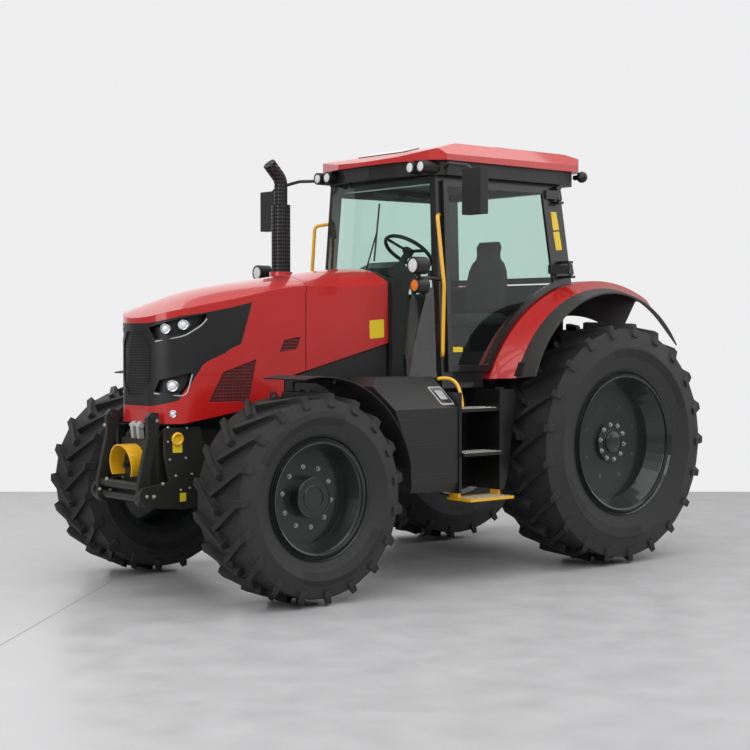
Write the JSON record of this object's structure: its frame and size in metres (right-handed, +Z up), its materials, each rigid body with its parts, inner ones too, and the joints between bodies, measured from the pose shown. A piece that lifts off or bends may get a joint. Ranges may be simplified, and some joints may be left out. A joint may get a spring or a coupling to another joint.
{
  "type": "farm tractor",
  "caption": "Four-wheel-drive farm tractor with a glazed cab, tipping bonnet, steered front axle with turning fenders, front and rear lift linkages.",
  "frame": {"origin": "on the floor under the middle of the outline", "axes": "+X to the front of the tractor, +Y to its left, +Z up"},
  "size_m": [4.914, 2.64, 3.28],
  "materials": {
    "red_paint": "gloss",
    "black_plastic": "satin",
    "grey_plastic": "fine texture",
    "grey_metal": "satin",
    "chassis_metal": "painted matt",
    "black_paint": "satin",
    "rim_paint": "metallic satin",
    "tyre": "matt",
    "yellow_paint": "gloss",
    "steel": "worn",
    "seat_fabric": "woven",
    "lamp": "clear lens",
    "glass": "tinted"
  },
  "bodies": {
    "chassis": {"battery_box": "grey_plastic", "cab_frame": "black_paint", "cab_tub": "grey_plastic", "cowl": "red_paint", "dashboard": "grey_plastic", "drawbar": "black_paint", "engine_block": "chassis_metal", "exhaust_stack": "black_paint", "fender_extensions": "grey_plastic", "front_axle": "chassis_metal", "front_frame": "chassis_metal", "front_linkage_frame": "grey_metal", "fuel_tank": "grey_plastic", "handrails": "yellow_paint", "lower_treads": "yellow_paint", "mirrors": "black_plastic", "pto_guard": "yellow_paint", "rear_fenders": "red_paint", "rear_hitch_frame": "chassis_metal", "rear_window": "glass", "roof_band": "black_plastic", "roof_cap": "red_paint", "seat_back": "seat_fabric", "seat_base": "black_plastic", "seat_cushion": "seat_fabric", "side_shields": "grey_plastic", "steering_wheel": "black_plastic", "steps": "black_paint", "transmission": "chassis_metal", "windscreen": "glass", "wiper": "black_plastic", "work_lamps": "black_plastic"},
    "bonnet": {"bonnet": "red_paint", "nose_mask": "black_plastic", "headlamps": "lamp", "bonnet_grilles": "black_plastic"},
    "steering_left": {"knuckle_left": "chassis_metal", "front_fender_left": "grey_plastic"},
    "steering_right": {"knuckle_right": "chassis_metal", "front_fender_right": "grey_plastic"},
    "tie_rod": {"tie_rod": "steel"},
    "wheel_front_left": {"tyre_front_left": "tyre", "rim_front_left": "rim_paint"},
    "wheel_front_right": {"tyre_front_right": "tyre", "rim_front_right": "rim_paint"},
    "wheel_rear_left": {"tyre_rear_left": "tyre", "rim_rear_left": "rim_paint"},
    "wheel_rear_right": {"tyre_rear_right": "tyre", "rim_rear_right": "rim_paint"},
    "door_left": {"door_frame_left": "black_paint", "door_glass_left": "glass"},
    "door_right": {"door_frame_right": "black_paint", "door_glass_right": "glass"},
    "front_lift_arms": {"front_lift_arms": "grey_metal"},
    "rear_lower_links": {"rear_lower_links": "grey_metal"},
    "rear_lift_arms": {"rear_lift_arms": "grey_metal"},
    "rear_lift_rods": {"rear_lift_rods": "steel"},
    "top_link": {"top_link": "steel"}
  },
  "joints": [
    {"name": "bonnet_hinge", "type": "hinge", "parent": "chassis", "child": "bonnet", "pos_m": [0.916, 0, 2.075], "axis": [0, -1, 0], "range_deg": [0, 45]},
    {"name": "steer_left", "type": "hinge", "parent": "chassis", "child": "steering_left", "pos_m": [1.576, 0.7, 0.71274], "axis": [0, 0, 1], "range_deg": [-32, 32]},
    {"name": "steer_right", "type": "hinge", "parent": "chassis", "child": "steering_right", "pos_m": [1.576, -0.7, 0.71274], "axis": [0, 0, 1], "range_deg": [-32, 32]},
    {"name": "tie_rod_pivot", "type": "hinge", "parent": "steering_left", "child": "tie_rod", "pos_m": [1.341, 0.7, 0.618], "axis": [0, 0, 1], "range_deg": [-32, 32]},
    {"name": "spin_front_left", "type": "hinge", "parent": "steering_left", "child": "wheel_front_left", "pos_m": [1.576, 0.958, 0.71274], "axis": [0, 1, 0], "continuous": true},
    {"name": "spin_front_right", "type": "hinge", "parent": "steering_right", "child": "wheel_front_right", "pos_m": [1.576, -0.958, 0.71274], "axis": [0, 1, 0], "continuous": true},
    {"name": "spin_rear_left", "type": "hinge", "parent": "chassis", "child": "wheel_rear_left", "pos_m": [-1.384, 0.952, 0.9468], "axis": [0, 1, 0], "continuous": true},
    {"name": "spin_rear_right", "type": "hinge", "parent": "chassis", "child": "wheel_rear_right", "pos_m": [-1.384, -0.952, 0.9468], "axis": [0, 1, 0], "continuous": true},
    {"name": "door_left_hinge", "type": "hinge", "parent": "chassis", "child": "door_left", "pos_m": [-1.23, 0.78404, 2.3], "axis": [0.0249, -0.1909, 0.9813], "range_deg": [0, 60]},
    {"name": "door_right_hinge", "type": "hinge", "parent": "chassis", "child": "door_right", "pos_m": [-1.23, -0.78404, 2.3], "axis": [-0.0249, -0.1909, -0.9813], "range_deg": [0, 60]},
    {"name": "front_lift", "type": "hinge", "parent": "chassis", "child": "front_lift_arms", "pos_m": [2.376, 0, 0.69], "axis": [0, 1, 0], "range_deg": [0, 100]},
    {"name": "rear_lift", "type": "hinge", "parent": "chassis", "child": "rear_lower_links", "pos_m": [-1.534, 0, 0.6], "axis": [0, 1, 0], "range_deg": [-15, 30]},
    {"name": "lift_arm_turn", "type": "hinge", "parent": "chassis", "child": "rear_lift_arms", "pos_m": [-1.686, 0, 1.16], "axis": [0, 1, 0], "range_deg": [-15, 30]},
    {"name": "lift_rod_turn", "type": "hinge", "parent": "rear_lift_arms", "child": "rear_lift_rods", "pos_m": [-2.01592, 0, 1.16729], "axis": [0, 1, 0], "range_deg": [-30, 15]},
    {"name": "top_link_pivot", "type": "hinge", "parent": "chassis", "child": "top_link", "pos_m": [-1.752, 0, 0.93], "axis": [0, 1, 0], "range_deg": [-20, 45]}
  ],
  "couplings": [
    {"joint": "steer_right", "follows": "steer_left", "ratio": 1},
    {"joint": "tie_rod_pivot", "follows": "steer_left", "ratio": -1},
    {"joint": "lift_arm_turn", "follows": "rear_lift", "ratio": 1},
    {"joint": "lift_rod_turn", "follows": "rear_lift", "ratio": -1}
  ]
}
